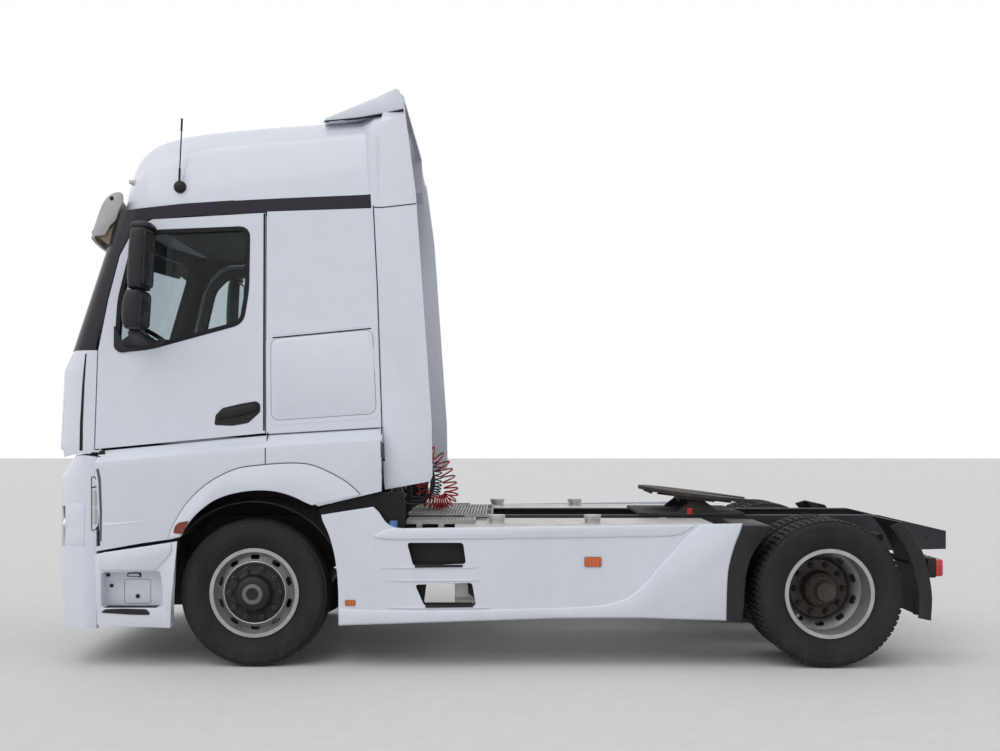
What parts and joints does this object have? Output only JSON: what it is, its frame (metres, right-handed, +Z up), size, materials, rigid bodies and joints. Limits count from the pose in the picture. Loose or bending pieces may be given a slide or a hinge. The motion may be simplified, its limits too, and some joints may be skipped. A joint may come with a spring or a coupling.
{
  "type": "tractor unit",
  "caption": "Two-axle forward-control tractor unit with a high-roof sleeper cab, fifth wheel, side skirts, twin rear wheels and moving doors, flap, lids and tilting cab.",
  "frame": {"origin": "on the ground at the middle of the overall length and width", "axes": "+X to the rear along the vehicle, +Z up, the driver's side at -Y"},
  "size_m": [6.3669, 2.96, 3.932],
  "materials": {
    "paint": "white gloss paint",
    "black": "black",
    "glass": "clear",
    "visor": "worn",
    "tyre": "worn rubber",
    "rim": "silver paint",
    "frame": "dark grey paint",
    "iron": "dusty iron",
    "plastic": "dark plastic",
    "cloth": "woven cloth",
    "tank": "dull",
    "lens": "coloured lamp lens",
    "hose_red": "smooth",
    "hose_black": "smooth"
  },
  "bodies": {
    "chassis": {"air_coil": "hose_red", "bumper": "paint", "cable_coil": "hose_black", "catwalk": "tank", "crossmember_front": "frame", "crossmember_rear": "frame", "drive_line": "iron", "fifth_wheel_base": "frame", "frame_rail_left": "frame", "frame_rail_right": "frame", "front_axle": "iron", "grille_lower": "black", "headlamp_left": "glass", "headlamp_right": "glass", "leaf_spring_left": "iron", "leaf_spring_right": "iron", "rear_axle": "iron", "rear_guard_left": "plastic", "rear_guard_right": "plastic", "side_skirt_left": "paint", "side_skirt_right": "paint", "step_box_left": "paint", "step_box_right": "paint", "tail_lamps": "lens", "tank_left": "tank", "tank_right": "tank"},
    "cab": {"cab_shell": "paint", "roof_band": "black", "cab_roof": "paint", "sun_visor": "visor", "roof_spoiler": "paint", "side_extender_left": "paint", "side_extender_right": "paint", "fender_left": "paint", "fender_right": "paint", "windscreen": "glass", "dashboard": "plastic", "seats_and_bunk": "cloth"},
    "front_flap": {"front_flap": "paint", "grille_upper": "black"},
    "fifth_wheel_plate": {"fifth_wheel_plate": "iron"},
    "track_rod": {"track_rod": "iron"},
    "door_left": {"door_left": "paint", "door_glass_left": "glass", "door_mirror_left": "black"},
    "locker_lid_left": {"locker_lid_left": "paint"},
    "knuckle_left": {"knuckle_left": "iron"},
    "wheel_front_left": {"tyre_front_left": "tyre", "rim_front_left": "rim"},
    "wheels_rear_left": {"tyres_rear_left": "tyre", "rims_rear_left": "rim"},
    "door_right": {"door_right": "paint", "door_glass_right": "glass", "door_mirror_right": "black"},
    "locker_lid_right": {"locker_lid_right": "paint"},
    "knuckle_right": {"knuckle_right": "iron"},
    "wheel_front_right": {"tyre_front_right": "tyre", "rim_front_right": "rim"},
    "wheels_rear_right": {"tyres_rear_right": "tyre", "rims_rear_right": "rim"}
  },
  "joints": [
    {"name": "cab_tilt", "type": "hinge", "parent": "chassis", "child": "cab", "pos_m": [-2.895, 0, 0.95], "axis": [0, -1, 0], "range_deg": [0, 60]},
    {"name": "flap", "type": "hinge", "parent": "cab", "child": "front_flap", "pos_m": [-3.097, 0, 2.08], "axis": [0, 1, 0], "range_deg": [0, 90]},
    {"name": "steer_left", "type": "hinge", "parent": "chassis", "child": "knuckle_left", "pos_m": [-1.745, -0.85, 0.497], "axis": [0, 0, 1], "range_deg": [-40, 40]},
    {"name": "steer_right", "type": "hinge", "parent": "chassis", "child": "knuckle_right", "pos_m": [-1.745, 0.85, 0.497], "axis": [0, 0, 1], "range_deg": [-40, 40]},
    {"name": "track_rod_pivot", "type": "hinge", "parent": "knuckle_left", "child": "track_rod", "pos_m": [-1.555, -0.85, 0.39], "axis": [0, 0, 1], "range_deg": [-40, 40]},
    {"name": "coupling_tilt", "type": "hinge", "parent": "chassis", "child": "fifth_wheel_plate", "pos_m": [1.37, 0, 1.06], "axis": [0, -1, 0], "range_deg": [0, 18]},
    {"name": "door_left", "type": "hinge", "parent": "cab", "child": "door_left", "pos_m": [-2.786, -1.141, 1.5], "axis": [0, 0, -1], "range_deg": [0, 75]},
    {"name": "locker_left", "type": "hinge", "parent": "cab", "child": "locker_lid_left", "pos_m": [-1.63824, -1.14, 2.19604], "axis": [-0.9955, 0, -0.0952], "range_deg": [0, 85]},
    {"name": "wheel_front_left", "type": "hinge", "parent": "knuckle_left", "child": "wheel_front_left", "pos_m": [-1.745, -1.035, 0.497], "axis": [0, 1, 0], "continuous": true},
    {"name": "wheels_rear_left", "type": "hinge", "parent": "chassis", "child": "wheels_rear_left", "pos_m": [2.105, -1.085, 0.497], "axis": [0, 1, 0], "continuous": true},
    {"name": "door_right", "type": "hinge", "parent": "cab", "child": "door_right", "pos_m": [-2.786, 1.141, 1.5], "axis": [0, 0, 1], "range_deg": [0, 75]},
    {"name": "locker_right", "type": "hinge", "parent": "cab", "child": "locker_lid_right", "pos_m": [-1.63824, 1.14, 2.19604], "axis": [0.9955, 0, 0.0952], "range_deg": [0, 85]},
    {"name": "wheel_front_right", "type": "hinge", "parent": "knuckle_right", "child": "wheel_front_right", "pos_m": [-1.745, 1.035, 0.497], "axis": [0, 1, 0], "continuous": true},
    {"name": "wheels_rear_right", "type": "hinge", "parent": "chassis", "child": "wheels_rear_right", "pos_m": [2.105, 1.085, 0.497], "axis": [0, 1, 0], "continuous": true}
  ],
  "couplings": [
    {"joint": "steer_right", "follows": "steer_left", "ratio": 1},
    {"joint": "track_rod_pivot", "follows": "steer_left", "ratio": -1}
  ]
}
